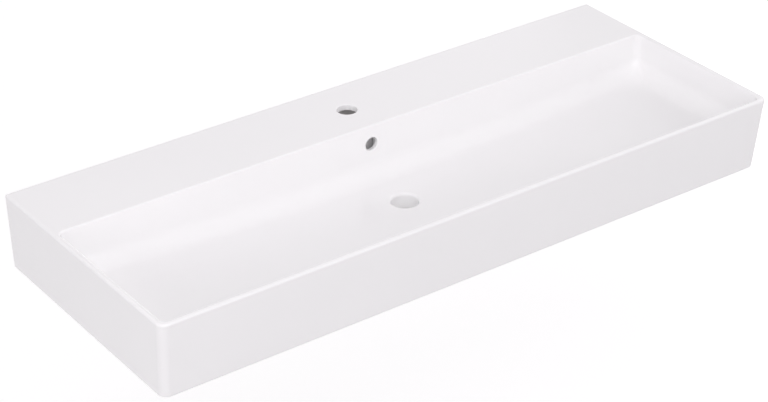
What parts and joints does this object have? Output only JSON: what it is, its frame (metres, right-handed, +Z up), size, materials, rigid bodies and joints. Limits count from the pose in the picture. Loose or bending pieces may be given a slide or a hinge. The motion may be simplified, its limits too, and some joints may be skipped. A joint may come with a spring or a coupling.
{
  "type": "wall-hung washbasin",
  "caption": "Wide rectangular white ceramic washbasin with a tap ledge, open tap, overflow and waste holes, and wall fixings.",
  "frame": {"origin": "on the wall plane, midway between the fixing bolts, on the line through their axes", "axes": "+X to the basin's right as seen from the room, +Y into the wall, +Z up; the front faces -Y"},
  "size_m": [1.2, 0.53, 0.135],
  "materials": {
    "glazed_china": "white gloss glaze",
    "plug_nylon": "grey nylon",
    "bush_plastic": "white plastic",
    "zinc_steel": "bright zinc plate"
  },
  "bodies": {
    "root": {"basin_body": "glazed_china", "wall_plug_outer_left": "plug_nylon", "fixing_bush_outer_left": "bush_plastic", "wall_plug_inner_left": "plug_nylon", "fixing_bush_inner_left": "bush_plastic", "wall_plug_inner_right": "plug_nylon", "fixing_bush_inner_right": "bush_plastic", "wall_plug_outer_right": "plug_nylon", "fixing_bush_outer_right": "bush_plastic", "hanger_bolts": "zinc_steel", "fixing_washers": "zinc_steel", "fixing_nuts": "zinc_steel"}
  },
  "joints": []
}
